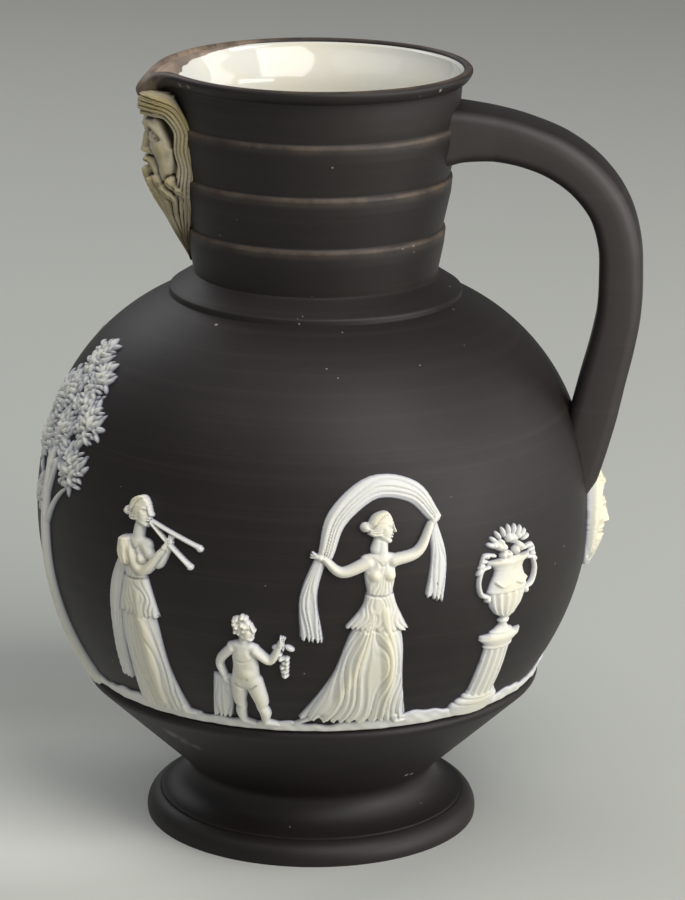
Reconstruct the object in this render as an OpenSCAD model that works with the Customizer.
// Jug of black stoneware with a globe body, a turned neck, a pulled spout and white applied reliefs

/* [Globe] */
// Radius of the globe
globe_r = 71.8; // [71:0.1:73]
// Height of the globe's centre
globe_z = 85.3; // [85:0.1:86]
// Wall of the thrown body
wall = 3.6; // [3:0.2:4]

/* [Shoulder and collar] */
// Height where the globe gives way to the flatter shoulder
shoulder_z = 110; // [109:0.5:112]
// Radius of the collar that the neck stands on
collar_r = 37.6; // [37:0.1:38.5]
// Height of the collar's lower edge
collar_z = 141.3; // [141:0.1:142]
// Height of the collar's upright edge
collar_h = 1.4; // [1:0.1:1.8]

/* [Lower body] */
// Radius of the turned edge between globe and cone
edge_r = 59.3; // [58.9:0.1:59.7]
// Height of that edge
edge_z = 42.5; // [42.3:0.1:42.7]
// Radius of the waist above the foot
waist_r = 32.2; // [31.5:0.1:32.5]
// Height of the waist
waist_z = 13.3; // [13:0.1:14]
// Radius of the curve that turns the cone into the waist
waist_bend = 3.5; // [3:0.1:4]

/* [Foot] */
// Largest radius of the foot's roll
foot_r = 43.6; // [43:0.1:45]
// Radius of the roll's section
roll_t = 5.2; // [5:0.1:5.4]
// Height at which the roll is widest
roll_z = 1.1; // [1:0.1:1.3]
// Radius of the step above the roll
step_r = 39.8; // [39:0.1:40.5]
// Height of that step
step_z = 6.5; // [6:0.1:7]
// Radius of the hollow under the foot
recess_r = 34; // [30:0.5:36]
// Depth of the hollow under the foot
recess_h = 8; // [5:0.5:9]

/* [Neck] */
// Height where the neck is luted to the body
neck_z = 146.9; // [146.5:0.1:147.5]
// Outer radius at the foot of the neck
neck_r = 31.2; // [31:0.1:32]
// Outer radius under the lip
throat_r = 36.9; // [36.5:0.1:37.2]
// Height of the rim
rim_z = 200; // [198:0.5:202]
// Outer radius of the rolled lip
lip_r = 39.3; // [38.9:0.1:39.7]
// Height of the lowest turned ledge
ledge_z = 158.7; // [157:0.1:160]
// Rise from ledge to ledge
ledge_rise = 13.45; // [13:0.05:13.6]
// How far a ledge stands out
ledge_out = 0.5; // [0.3:0.05:0.8]
// Thickness of the white lining
lining_t = 0.8; // [0.6:0.1:1]

/* [Spout] */
// Direction of the spout round the jug, with the handle at 0
spout_az = 190; // [180:1:195]
// How far the lip is pulled out
spout_reach = 6.5; // [4:0.1:7]
// How far the tip droops
spout_drop = 6.4; // [4:0.1:7]

/* [Handle] */
// Width of the handle strap
handle_w = 18; // [16:0.5:20]
// Thickness of the handle strap
handle_t = 11.4; // [10:0.1:12]

/* [Reliefs] */
// Height that the figures are drawn to
figure_h = 62; // [58:1:64]
// How far the ground strip stands out
ground_out = 1.5; // [1.2:0.1:1.8]
// Direction of the piper
piper_az = 239; // [236:1:242]
// Direction of the child with grapes
child_az = 262; // [260:1:264]
// Direction of the veil dancer
dancer_az = 289; // [287:1:291]
// Direction of the vase on its column
vase_az = 318; // [316:1:320]
// Direction of the tree beside the spout
tree_az = 208; // [206:1:210]
// Direction of the lyre player on the back
lyre_az = 118; // [116:1:120]
// Direction of the child with a bird on the back
bird_az = 68; // [66:1:70]
// Direction of the urn bearer on the back
urn_az = 42; // [40:1:44]
// Direction of the tree on the back
olive_az = 152; // [150:1:154]

/* [Hidden] */
$fn = 96;

black = [0.17, 0.155, 0.15];
white = [0.86, 0.85, 0.80];
cream = [0.92, 0.91, 0.83];
buff = [0.56, 0.50, 0.40];

// Shared arithmetic
function mix(a, b, t) = a + (b - a) * t;
function arc(cx, cy, r, from, to, n) =
    [for (i = [0 : n]) let (a = mix(from, to, i / n)) [cx + r * cos(a), cy + r * sin(a)]];
function polar(az, rz) = [rz[0] * cos(az), rz[0] * sin(az), rz[1]];

// The shoulder arc leaves the globe tangent at shoulder_z and ends on the collar
join_a = asin((shoulder_z - globe_z) / globe_r);
join_p = [globe_r * cos(join_a), shoulder_z];
chord = join_p - [collar_r, collar_z];
shoulder_r = (chord * chord) / (2 * (chord * [cos(join_a), sin(join_a)]));
shoulder_c = join_p - shoulder_r * [cos(join_a), sin(join_a)];
collar_a = atan2(collar_z - shoulder_c[1], collar_r - shoulder_c[0]);
edge_a = asin((edge_z - globe_z) / globe_r);
seat_r = neck_r - 3.1;

module globe_body() {
    inner_r = globe_r - wall;
    inner_shoulder = shoulder_r - wall;
    seat_a = acos((seat_r - shoulder_c[0]) / inner_shoulder);
    color(black) rotate_extrude() polygon(concat(
        [[0, waist_z]],
        arc(waist_r + waist_bend, waist_z, waist_bend, 180, 138, 5),
        arc(edge_r - 1.6, edge_z - 1.6, 1.6, -45, 90, 6),
        arc(0, globe_z, globe_r, edge_a, join_a, 24),
        arc(shoulder_c[0], shoulder_c[1], shoulder_r, join_a + 2, collar_a, 14),
        [[collar_r, collar_z + collar_h], [neck_r + 0.5, neck_z - 0.4], [neck_r, neck_z], [seat_r, neck_z]],
        arc(shoulder_c[0], shoulder_c[1], inner_shoulder, seat_a, join_a, 14),
        arc(0, globe_z, inner_r, join_a - 3, -90, 34)));
}

// Plain section of the neck, without its spout
function neck_at(z) = mix(neck_r, throat_r, (z - neck_z) / (rim_z - 4 - neck_z));
lip_z = rim_z - 3.6;
ledge_h = 0.35;
spout_from = ledge_z + 2 * ledge_rise + ledge_h;
neck_wall = 3.1;
// The rim's flat-sided rings stand this far inside the turned wall below them, so that no edges touch
rim_inset = 0.25;
bore_inset = 0.22;

function ledges() = [for (i = [0 : 2]) let (z = ledge_z + i * ledge_rise)
    each [[neck_at(z) + ledge_out, z], [neck_at(z), z + ledge_h]]];
// From the outside under the lip, over the lip, down the inside; each point is radius, height,
// share of the spout's reach and share of its droop
function rim_section() = [
    [neck_at(spout_from) - rim_inset, spout_from, 0, 0],
    [neck_at(spout_from + 3), spout_from + 3, 0.18, 0.02],
    [neck_at(spout_from + 6), spout_from + 6, 0.5, 0.25],
    [neck_at(lip_z) - 0.1, lip_z - 0.1, 0.86, 0.72],
    [lip_r - 1.5, lip_z + 0.2, 0.96, 0.84],
    [lip_r - 0.6, lip_z + 1.1, 1, 0.86],
    [lip_r, lip_z + 2.3, 1, 0.8],
    [lip_r - 0.2, lip_z + 3.1, 0.96, 0.68],
    [lip_r - 0.9, rim_z, 0.86, 0.5],
    [lip_r - 1.7, rim_z - 0.1, 0.72, 0.3],
    [lip_r - 2.3, rim_z - 0.9, 0.6, 0.16],
    [lip_r - 3.1, rim_z - 3.2, 0.44, 0.06],
    [neck_at(spout_from + 5) - neck_wall + bore_inset, spout_from + 5, 0.16, 0],
    [neck_at(spout_from) - neck_wall + bore_inset, spout_from, 0, 0]];
function skin_section() = let (s = rim_section(), n = len(s)) concat(
    [for (i = [n - 1 : -1 : 10]) s[i]],
    [for (i = [10 : n - 1]) [s[i][0] - lining_t, s[i][1] - (i == 10 ? 0.3 : 0), s[i][2], s[i][3]]]);
sector = 60;
function pull(a) = abs(a) >= sector ? 0 : exp(-pow(abs(a) / 11.5, 1.5));
function droop(a) = abs(a) >= sector ? 0 : exp(-pow(abs(a) / 8.5, 1.8));
function pulled(p, a) = [p[0] + spout_reach * pull(a) * p[2], p[1] - spout_drop * droop(a) * p[3]];
half_sector = [60, 49, 39, 31, 24, 18.5, 14, 11, 8, 5.5, 3, 1];
turns = concat([for (a = half_sector) -a], [for (i = [len(half_sector) - 1 : -1 : 0]) half_sector[i]]);
round_rim = concat(turns, [for (a = [sector + 12 : 12 : 348 - sector]) a]);

// Solid through a list of closed rings, turned the right way out whichever way the rings run
function middle(ring) = [for (k = [0 : 2]) [for (p = ring) p[k]] * [for (p = ring) 1] / len(ring)];
function ring_normal(ring) = let (n = len(ring), c = middle(ring))
    [for (k = [0 : 2]) [for (j = [0 : n - 1]) cross(ring[j] - c, ring[(j + 1) % n] - c)[k]] * [for (p = ring) 1]];
module loft(rings, closed = false) {
    n = len(rings);
    m = len(rings[0]);
    forward = ring_normal(rings[0]) * (middle(rings[1]) - middle(rings[0])) > 0;
    function turn(face) = forward ? [for (i = [len(face) - 1 : -1 : 0]) face[i]] : face;
    sides = [for (i = [0 : n - (closed ? 1 : 2)], j = [0 : m - 1]) let (k = (j + 1) % m, next = (i + 1) % n)
        each [turn([i * m + j, i * m + k, next * m + k]), turn([i * m + j, next * m + k, next * m + j])]];
    ends = closed ? [] : [turn([for (j = [m - 1 : -1 : 0]) j]), turn([for (j = [0 : m - 1]) (n - 1) * m + j])];
    polyhedron([for (ring = rings) each ring], concat(sides, ends));
}

// The rim and its spout: one section drawn round the jug, pulled out where the spout is
module rim_part(section) {
    loft([for (a = round_rim) [for (p = section) polar(spout_az + a, pulled(p, a))]], closed = true);
}

module neck() {
    color(black) {
        rotate_extrude() polygon(concat([[neck_r, neck_z]], ledges(),
            [[neck_at(spout_from) - neck_wall, spout_from], [seat_r, neck_z]]));
        rim_part(rim_section());
    }
}

module lining() {
    outer_r = globe_r - wall;
    shoulder_out = shoulder_r - wall;
    seat_a = acos((seat_r - shoulder_c[0]) / shoulder_out);
    throat = neck_at(spout_from) - neck_wall;
    inner_seat_a = acos((seat_r - lining_t - shoulder_c[0]) / (shoulder_out - lining_t));
    color(cream) {
        rotate_extrude() polygon(concat(
            [[throat, spout_from], [seat_r, neck_z]],
            arc(shoulder_c[0], shoulder_c[1], shoulder_out, seat_a, join_a, 14),
            arc(0, globe_z, outer_r, join_a - 3, -90, 34),
            arc(0, globe_z, outer_r - lining_t, -90, join_a - 3, 34),
            arc(shoulder_c[0], shoulder_c[1], shoulder_out - lining_t, join_a, inner_seat_a, 14),
            [[seat_r - lining_t, neck_z], [throat - lining_t, spout_from]]));
        rim_part(skin_section());
    }
}

module foot() {
    color(black) rotate_extrude() polygon(concat(
        [[0, recess_h], [recess_r - 4, recess_h], [recess_r, 0.6], [recess_r + 0.6, 0]],
        arc(foot_r - roll_t, roll_z, roll_t, -asin(roll_z / roll_t), 70, 10),
        [[step_r, step_z - 0.5], [step_r, step_z + 0.1]],
        [for (i = [1 : 10]) let (t = i / 10)
            [mix(step_r, waist_r, sin(90 * t)), mix(step_z + 0.1, waist_z, 1 - cos(90 * t))]],
        [[0, waist_z]]));
}

// Handle: a strap swept along the loop, cut to the neck and the globe that it is luted to
loop = [[30, 182.6], [38, 183.9], [46, 183.4], [54, 181.6], [61.7, 178.5], [69, 173.2], [74.6, 165.8],
    [77.4, 157], [78, 148], [77.8, 139], [76.3, 130], [74.2, 121], [72.2, 112], [70, 103], [67.5, 94.5],
    [64.5, 86.8]];
function loop_dir(i) = let (n = len(loop) - 1, d = loop[min(n, i + 1)] - loop[max(0, i - 1)]) d / norm(d);
// The strap is thickest where it is pressed on to the neck and again in its lower half
function strap_t(i) = handle_t * lookup(i, [[0, 1.36], [1, 1.22], [2, 1.09], [3, 1.02], [6, 0.95], [9, 1], [12, 1.08],
    [15, 1]]);
function strap_w(i) = handle_w * (i < 2 ? 1.14 - 0.06 * i : 1 - 0.006 * i);
corner = 2.7;
function strap_ring(i) =
    let (d = loop_dir(i), nrm = [-d[1], d[0]], w = strap_w(i) / 2 - corner, t = strap_t(i) / 2 - corner)
    [for (q = [[1, 1, 0], [-1, 1, 90], [-1, -1, 180], [1, -1, 270]], k = [0 : 3])
        let (a = q[2] + 30 * k, y = q[0] * w + corner * cos(a), o = q[1] * t + corner * sin(a),
             p = loop[i] + nrm * o) [p[0], y, p[1]]];

module strap() {
    loft([for (i = [0 : len(loop) - 1]) strap_ring(i)]);
}

module neck_core() {
    rotate_extrude() polygon(concat([[0, neck_z], [neck_r, neck_z]], ledges(),
        [[neck_at(spout_from + 9) - rim_inset, spout_from + 9], [0, spout_from + 9]]));
}

module handle() {
    color(black) difference() {
        strap();
        neck_core();
        sphere(r = globe_r);
    }
}

// A point of a relief: u along the horizontal, s up the wall's curve from the ground, h out of it
ground_a = asin((edge_z + 2.4 - globe_z) / globe_r);
join_s = globe_r * (join_a - ground_a) * PI / 180;
scale_k = figure_h / 62;
function on_globe(az) = function (u, s, h)
    let (rise = scale_k * s,
         over = rise > join_s,
         centre = over ? shoulder_c : [0, globe_z],
         r = over ? shoulder_r : globe_r,
         lat = over ? join_a + (rise - join_s) * 180 / (PI * r) : ground_a + rise * 180 / (PI * r),
         wide = centre[0] + r * cos(lat))
    polar(az + scale_k * u * 180 / (PI * wide), centre + (r + h) * [cos(lat), sin(lat)]);

// Relief pieces start below the surface they sit on, and are trimmed to it afterwards
below = -0.5;
module hull_of(points) {
    hull() polyhedron(points, [[for (i = [0 : len(points) - 1]) i]]);
}

// A rounded limb through points of u, s, half width and height, with a tapered end
function limb_section(on, q, d) = let (n = [-d[1], d[0]])
    [for (w = [[-1, 0], [-0.8, 0.6], [0, 1], [0.8, 0.6], [1, 0]])
        on(q[0] + n[0] * w[0] * q[2], q[1] + n[1] * w[0] * q[2], w[1] == 0 ? below : w[1] * q[3])];
function heading(p, i) = let (a = p[max(0, i - 1)], b = p[min(len(p) - 1, i + 1)], d = [b[0] - a[0], b[1] - a[1]])
    d / norm(d);
function tapered(q, d) = [q[0] + 0.7 * d[0] * q[2], q[1] + 0.7 * d[1] * q[2], q[2] * 0.5, q[3] * 0.6];
module limb(on, pts) {
    last = len(pts) - 1;
    rings = concat([for (i = [0 : last]) limb_section(on, pts[i], heading(pts, i))],
        [limb_section(on, tapered(pts[last], heading(pts, last)), heading(pts, last))]);
    for (i = [0 : len(rings) - 2]) hull_of(concat(rings[i], rings[i + 1]));
}

// A rounded boss with half widths a and b and height h
module boss(on, u, s, a, b, h, n = 5) {
    rings = n > 6 ? [[1, 0], [0.86, 0.62], [0.45, 0.93]] : [[1, 0], [0.72, 0.78]];
    hull_of(concat([for (ring = rings, k = [0 : n - 1]) let (t = 360 * k / n)
        on(u + a * ring[0] * cos(t), s + b * ring[0] * sin(t), ring[1] == 0 ? below : ring[1] * h)],
        [on(u, s, h)]));
}

// Pleated cloth between two edges, with ridges that run from its top to its hem
module drape(on, left, right, pleats, base, depth) {
    m = 2 * pleats;
    rows = len(left) - 1;
    loft([for (j = [0 : m]) let (x = j / m, crown = 0.45 + 0.55 * sin(180 * x)) concat(
        [for (i = [0 : rows]) let (e = mix(left[i], right[i], x))
            on(e[0], e[1], base * crown + (j % 2) * depth * (0.5 + 0.5 * i / rows))],
        [for (i = [rows : -1 : 0]) let (e = mix(left[i], right[i], x)) on(e[0], e[1], below)])]);
}

// The globe as facets whose middles and corners lie as far inside the true surface as outside it
module globe_cutter() {
    sides = 48;
    sphere(r = globe_r * (3 - cos(180 / sides)) / 2, $fn = sides);
}

module applied() {
    color(white) difference() {
        children();
        globe_cutter();
    }
}

// The same with the shoulder, for what reaches over it
module shoulder_cutter() {
    sides = 48;
    grow = (3 - cos(180 / sides)) / 2;
    rotate_extrude($fn = sides) polygon(concat([[0, globe_z - globe_r * sin(45)]],
        arc(0, globe_z, globe_r * grow, -45, join_a, 9),
        arc(shoulder_c[0], shoulder_c[1], shoulder_r * grow, join_a + 7, collar_a, 5),
        [[0, collar_z]]));
}

// Head, neck, bust and gathered hair, from the waist up, with the head turned to face
module bust(on, u, s, lean, face) {
    limb(on, [[u, s, 3.2, 2], [u + 0.4 * lean, s + 8.5, 3.9, 2.3], [u + 0.6 * lean, s + 11, 3, 2]]);
    limb(on, [[u + 0.7 * lean, s + 12, 1.6, 1.5], [u + lean, s + 16, 1.6, 1.5]]);
    boss(on, u + lean + 0.4 * face, s + 19.4, 3, 3.9, 2.5, 8);
    boss(on, u + lean - 0.8 * face, s + 20.8, 3.2, 2.9, 2.7, 8);
    boss(on, u + lean - 4.2 * face, s + 20.4, 1.7, 1.5, 2);
}

// A rosette of leaves: a low peak whose rim runs out to a tip for each leaf
module rosette(on, u, s, r, turn) {
    leaves = 8;
    n = 2 * leaves;
    rim = [for (k = [0 : n - 1]) let (a = turn + 360 * k / n, q = k % 2 == 0 ? 1.25 * r : 0.85 * r)
        on(u + q * cos(a), s + 0.9 * q * sin(a), below)];
    polyhedron(concat(rim, [on(u, s, 2.2), on(u, s, below)]),
        [for (k = [0 : n - 1]) each [[(k + 1) % n, k, n], [k, (k + 1) % n, n + 1]]]);
}

// Where the crown's rosettes sit: u, s and reach
crown = [[-9, 50, 5], [11, 59, 6.2], [-12, 63, 6.4], [0.5, 67, 6.6], [12, 72, 5.8], [-10, 75, 6.2], [4, 80, 6.6],
    [-1, 89, 6.4]];
module tree(on, lean) {
    color(white) difference() {
        union() {
            limb(on, [[0, -1, 1.9, 1.5], [lean * 0.3, 13, 1.5, 1.4], [lean * 0.6, 27, 1.4, 1.4], [lean, 41, 1.3, 1.3],
                [lean, 55, 1.1, 1.3]]);
            for (tip = [[-8, 50], [9, 57]])
                limb(on, [[lean * 0.8, tip[1] - 16, 1, 1.3], [lean + tip[0], tip[1], 0.7, 1.2]]);
            for (k = [0 : len(crown) - 1]) let (c = crown[k]) rosette(on, lean + c[0], c[1], c[2], 17 * k);
        }
        shoulder_cutter();
    }
}

module piper() applied() {
    on = on_globe(piper_az);
    drape(on, [[-4, 38], [-6, 28], [-6.6, 15], [-8, 1.5]], [[3.4, 38], [5, 28], [6, 15], [7.6, 1.5]], 5, 1.6, 0.6);
    drape(on, [[-3.8, 46], [-4.6, 40], [-6.4, 32]], [[3.4, 46], [4.4, 40], [6.4, 31]], 3, 2.1, 0.5);
    drape(on, [[-4.4, 48], [-8.6, 34], [-10.5, 16]], [[-1.6, 48], [-5, 32], [-6.6, 14]], 2, 1.4, 0.6);
    bust(on, -0.6, 38, 1.4, 1);
    limb(on, [[-2.4, 47.5, 1.9, 2.4], [3.4, 41.6, 1.6, 2.9], [8.8, 48.6, 1.1, 2.2]]);
    limb(on, [[3, 47.8, 1.7, 2], [7.4, 43.6, 1.4, 2], [11, 50.6, 1, 1.8]]);
    limb(on, [[4.4, 54.6, 0.6, 1.4], [15, 45.4, 0.8, 1.2]]);
    limb(on, [[4.4, 54.8, 0.6, 1.2], [17, 50.4, 0.8, 1]]);
    limb(on, [[-3, 2, 1.4, 1.6], [0.6, 0.8, 1, 1.2]]);
    limb(on, [[3.6, 2, 1.4, 1.6], [8.4, 0.8, 1, 1.2]]);
}

module small_child(on, face) {
    for (leg = [[-1.8, -2.4, -2, 0.4], [2, 3.8, 3.2, 5.8]])
        limb(on, [[leg[0] * face, 15, 2.5, 2.2], [leg[1] * face, 8.5, 2.1, 2.2], [leg[2] * face, 2.6, 1.4, 1.6],
            [leg[3] * face, 0.9, 1.1, 1.3]]);
    limb(on, [[0, 16, 3.6, 2.5], [0, 23, 3.4, 2.4], [0.4 * face, 26.6, 1.8, 1.6]]);
    boss(on, 0.8 * face, 30.4, 3.3, 3.8, 2.7, 8);
    for (k = [0 : 3]) boss(on, (-2.4 + 1.7 * k) * face, 32.4 + 1.6 * sin(45 * (k + 0.5)), 1.6, 1.5, 2.8);
    limb(on, [[-3 * face, 24, 1.6, 1.9], [-6.2 * face, 19.8, 1.4, 1.9], [-5.6 * face, 14.4, 1.1, 1.6]]);
    drape(on, [[-5 * face, 16], [-8.2 * face, 8], [-9.4 * face, 2]], [[-3 * face, 16.5], [-4.4 * face, 8], [-5.4 * face, 2]],
        2, 1.1, 0.5);
}

module grape_child() applied() {
    on = on_globe(child_az);
    small_child(on, 1);
    limb(on, [[3, 24, 1.6, 2], [6.8, 21.6, 1.4, 2.2], [9.4, 25.6, 1.1, 1.8]]);
    for (k = [0 : 7]) boss(on, 9.6 + 1.6 * cos(k * 137.5) * (1 - k / 12), 26 - k, 1.15, 1.15, 1.9);
}

module bird_child() applied() {
    on = on_globe(bird_az);
    small_child(on, -1);
    limb(on, [[-3, 24, 1.6, 2], [-7.4, 26.4, 1.4, 2.2], [-9.8, 32, 1, 1.8]]);
    limb(on, [[-9.4, 33.4, 1.3, 1.6], [-12.6, 34.2, 1.8, 2], [-15.4, 33, 0.7, 1]]);
    limb(on, [[-12.4, 34.6, 1.2, 2], [-14, 38.6, 0.6, 1]]);
}

module veil_dancer() applied() {
    on = on_globe(dancer_az);
    drape(on, [[-3.2, 38], [-6.6, 29], [-9.6, 19], [-13, 10], [-17, 4]],
        [[3.2, 38], [6.2, 29], [7.4, 19], [8, 10], [9, 2.5]], 6, 1.7, 0.7);
    drape(on, [[-3.8, 46], [-4.4, 40], [-8.6, 31.5]], [[3.8, 46], [4.4, 40], [7.6, 30.5]], 4, 2.1, 0.5);
    bust(on, 0, 38, 1.8, 1);
    limb(on, [[4, 47.6, 1.8, 2.1], [10.4, 50, 1.5, 2.2], [13.6, 57.4, 1, 1.8]]);
    limb(on, [[-3, 47.6, 1.8, 2.1], [-9.2, 45.6, 1.5, 2.1], [-14.6, 49.6, 1, 1.8]]);
    drape(on, [[-16.6, 53], [-11, 63.5], [-1, 69], [9, 67.5], [15.6, 60]],
        [[-14, 49.6], [-9, 59.6], [-0.6, 64.8], [7, 64], [13, 57]], 2, 0.9, 0.5);
    drape(on, [[-16.6, 50], [-20, 40], [-18.6, 30]], [[-13.6, 49.4], [-15.6, 39.4], [-13.6, 31.4]], 2, 0.9, 0.5);
    limb(on, [[-12, 4.6, 1.4, 1.6], [-16, 1, 0.9, 1.2]]);
    limb(on, [[5, 3, 1.4, 1.6], [9.6, 1, 1, 1.2]]);
}

// A turned form seen from the front, through half widths and heights, with flutes up it
module turned(on, outline, flutes, height) {
    drape(on, [for (p = outline) [-p[0], p[1]]], [for (p = outline) p], flutes, height, 0.35);
}

module vase_column() applied() {
    on = on_globe(vase_az);
    turned(on, [[8.2, -1], [8.2, 3], [6.4, 3.6], [5.6, 5.6], [5, 6.4], [4.4, 21.4], [5.4, 22.2], [7, 24.6]], 3, 2.1);
    turned(on, [[3.8, 23.8], [3.4, 25.6], [1.5, 26.6], [1.5, 28.4], [3.4, 29.8], [6.6, 36], [6.2, 39], [5, 41.8],
        [7.4, 44.6]], 3, 2.6);
    for (side = [-1, 1]) limb(on, [[side * 6, 35, 0.8, 1.2], [side * 9.2, 38, 0.7, 1.2], [side * 8.8, 42.4, 0.7, 1.2],
        [side * 6.4, 43.4, 0.7, 1.2]]);
    for (k = [0 : 6]) boss(on, -6 + 2 * k, 45.6 + 2.2 * abs(sin(k * 67)), 1.8, 1.7, 2);
}

module laurel_tree() tree(on_globe(tree_az), -2);
module olive_tree() tree(on_globe(olive_az), 3);

module lyre_player() applied() {
    on = on_globe(lyre_az);
    drape(on, [[-4, 30], [-8, 22], [-7, 12], [-9, 1.5]], [[4.4, 30], [9, 26], [9.4, 14], [8.4, 1.5]], 4, 1.8, 0.6);
    drape(on, [[-4, 39], [-4.6, 34], [-6, 27]], [[3.6, 39], [4.2, 34], [6, 27]], 3, 2.1, 0.5);
    bust(on, -0.2, 30.4, 1.2, 1);
    limb(on, [[3, 40.6, 1.8, 2.1], [8, 36, 1.5, 2.3], [11, 41, 1, 1.8]]);
    for (side = [-1, 1]) limb(on, [[10.9 + 2.6 * side, 33, 0.9, 1.4], [10.9 + 3.6 * side, 40, 0.8, 1.3],
        [10.9 + 1.7 * side, 47, 0.7, 1.2]]);
    limb(on, [[8, 32.4, 1.3, 1.6], [13.8, 32.4, 1.3, 1.6]]);
    limb(on, [[8.6, 46.2, 0.6, 1.3], [13.4, 46.2, 0.6, 1.3]]);
    limb(on, [[-9, 20, 1.1, 1.1], [6, 20, 1.1, 1.1]]);
    limb(on, [[-8.6, 20, 1, 1], [-11, 0.5, 0.8, 1]]);
}

module urn_bearer() applied() {
    on = on_globe(urn_az);
    drape(on, [[-3.6, 38], [-5.4, 28], [-6, 15], [-8, 1.5]], [[3.8, 38], [6, 28], [7.4, 15], [9, 1.5]], 5, 1.6, 0.6);
    drape(on, [[-3.8, 46], [-4.6, 40], [-6.4, 31]], [[3.6, 46], [4.4, 40], [6.8, 32]], 4, 2.1, 0.5);
    bust(on, 0, 38, -1.2, -1);
    limb(on, [[-3, 47.6, 1.8, 2.1], [-7.2, 42, 1.5, 2.1], [-6.4, 35.6, 1, 1.8]]);
    limb(on, [[3.4, 47.6, 1.8, 2.1], [9.4, 51.4, 1.5, 2.2], [7.6, 58.4, 1, 1.8]]);
    boss(on, 7, 58, 3.2, 4.6, 2.7, 8);
    limb(on, [[7.2, 61.4, 1.3, 1.8], [7.4, 65.2, 1.9, 1.8]]);
    limb(on, [[-3.4, 2, 1.4, 1.6], [-8, 0.8, 1, 1.2]]);
    limb(on, [[3.4, 2, 1.4, 1.6], [1, 0.8, 1, 1.2]]);
}

// The ground: four strips with a smooth foot and a wandering top, butted round the edge
function ground_top(a) = edge_z + 3.4 + 0.7 * sin(5 * a) + 0.5 * sin(11 * a + 40) + 0.3 * sin(23 * a);
function globe_at(z) = sqrt(globe_r * globe_r - (z - globe_z) * (z - globe_z));
function ground_section(a) = let (low = edge_z + 0.15, top = ground_top(a), mid = mix(low, top, 0.6)) [
    [globe_at(low), low], [globe_at(low) + ground_out, low], [globe_at(mid) + ground_out, mid],
    [globe_at(top) + 0.5, top], [globe_at(top), top], [globe_at(mid), mid]];
module ground_strips() {
    gap = 0.15;
    spans = 12;
    color(white) for (k = [0 : 3])
        loft([for (i = [0 : spans]) let (a = 90 * k + mix(gap, 90 - gap, i / spans))
            [for (p = ground_section(a)) polar(a, p)]]);
}

// The bearded mask under the spout: u round the neck, s up it from the tip of the beard
mask_z = 150;
function on_neck(u, s, h) = let (z = mask_z + s, a = spout_az + 1 + u * 180 / (PI * (neck_at(z) + 0.5 * max(0, h))))
    polar(a, [neck_at(z) + h, z]);

module spout_mask() {
    on = function (u, s, h) on_neck(u, s, h);
    color(buff) difference() {
        union() {
            boss(on, 0, 24, 6.6, 10.5, 6, 10);
            boss(on, 0, 32, 6.4, 6, 6.2, 10);
            limb(on, [[0, 29, 1, 8], [0, 22.4, 1.7, 9.6], [0, 21.4, 1.9, 9.2]]);
            limb(on, [[0, 16.4, 1.9, 5.4], [0, 10, 2.2, 3.9], [0.3, 4.4, 1.3, 1.8], [0.5, 2, 0.7, 1.1]]);
            for (side = [-1, 1]) {
                limb(on, [[side * 0.8, 29.4, 1.2, 7.4], [side * 4.8, 28.6, 1.3, 6.4]]);
                boss(on, side * 3.6, 22, 2.4, 2.8, 6.4, 6);
                limb(on, [[side * 0.8, 19, 1.1, 8], [side * 3.6, 17, 1.2, 6.8], [side * 5, 12.6, 1, 4.6]]);
                for (k = [0 : 2]) limb(on, [[side * (0.6 + 1.6 * k), 37.6 - k, 1.5, 6.2 - 0.8 * k],
                    [side * (4.2 + 1.6 * k), 33.4 - 1.6 * k, 1.6, 6 - 0.9 * k],
                    [side * (6.6 + 0.8 * k), 26.6 - 2.6 * k, 1.6, 4.4 - 0.8 * k],
                    [side * (6.8 - 0.2 * k), 18.6 - 2.6 * k, 1.1, 2.6]]);
                for (k = [0 : 2]) limb(on, [[side * (1.4 + 1.7 * k), 15.4 + 0.8 * k, 1.5, 5 - 0.8 * k],
                    [side * (1.9 + 1.4 * k), 10 + k, 1.5, 3.6 - 0.5 * k], [side * (0.9 + k), 5 + 2 * k, 0.9, 1.6]]);
            }
        }
        rotate_extrude($fn = 72) polygon([[0, neck_z], [neck_r, neck_z],
            [neck_at(rim_z - 4) + 0.5, rim_z - 4], [0, rim_z - 4]]);
        lip_underside();
    }
}

// The pulled lip, solid back to the middle of the wall, which the mask's hair is pressed against
module lip_underside() {
    section = rim_section();
    rotate([0, 0, spout_az]) loft([for (a = turns) concat(
        [for (i = [0 : 8]) polar(a, pulled(section[i], a))],
        [polar(a, [lip_r - 8, rim_z]), polar(a, [lip_r - 8, spout_from])])]);
}

// The white mask where the handle ends on the globe
module handle_mask() {
    base = on_globe(0);
    on = function (u, s, h) base(u, s + 30, h);
    color(white) difference() {
        union() {
            boss(on, 0, 12, 4.6, 6.6, 3.6, 10);
            limb(on, [[0, 14.6, 0.7, 4.4], [0, 11.6, 1.1, 5]]);
            for (side = [-1, 1]) {
                limb(on, [[side * 0.6, 15.2, 0.7, 4.4], [side * 3, 14.8, 0.7, 3.8]]);
                for (k = [0 : 2]) limb(on, [[side * (0.4 + k), 20.6 - 0.8 * k, 1.3, 3.8 - 0.3 * k],
                    [side * (3.4 + 0.9 * k), 18.2 - k, 1.2, 3.4 - 0.4 * k],
                    [side * (5.4 + 0.3 * k), 12 - 1.8 * k, 1, 2.2]]);
                limb(on, [[side * 1.4, 7, 1.3, 2.8], [side * 1.5, 3, 1.1, 1.8], [side * 0.5, -1.4, 0.8, 1.2]]);
            }
        }
        globe_cutter();
        strap();
    }
}

globe_body();
neck();
foot();
handle();
lining();
ground_strips();
spout_mask();
handle_mask();
piper();
grape_child();
veil_dancer();
vase_column();
laurel_tree();
lyre_player();
bird_child();
urn_bearer();
olive_tree();
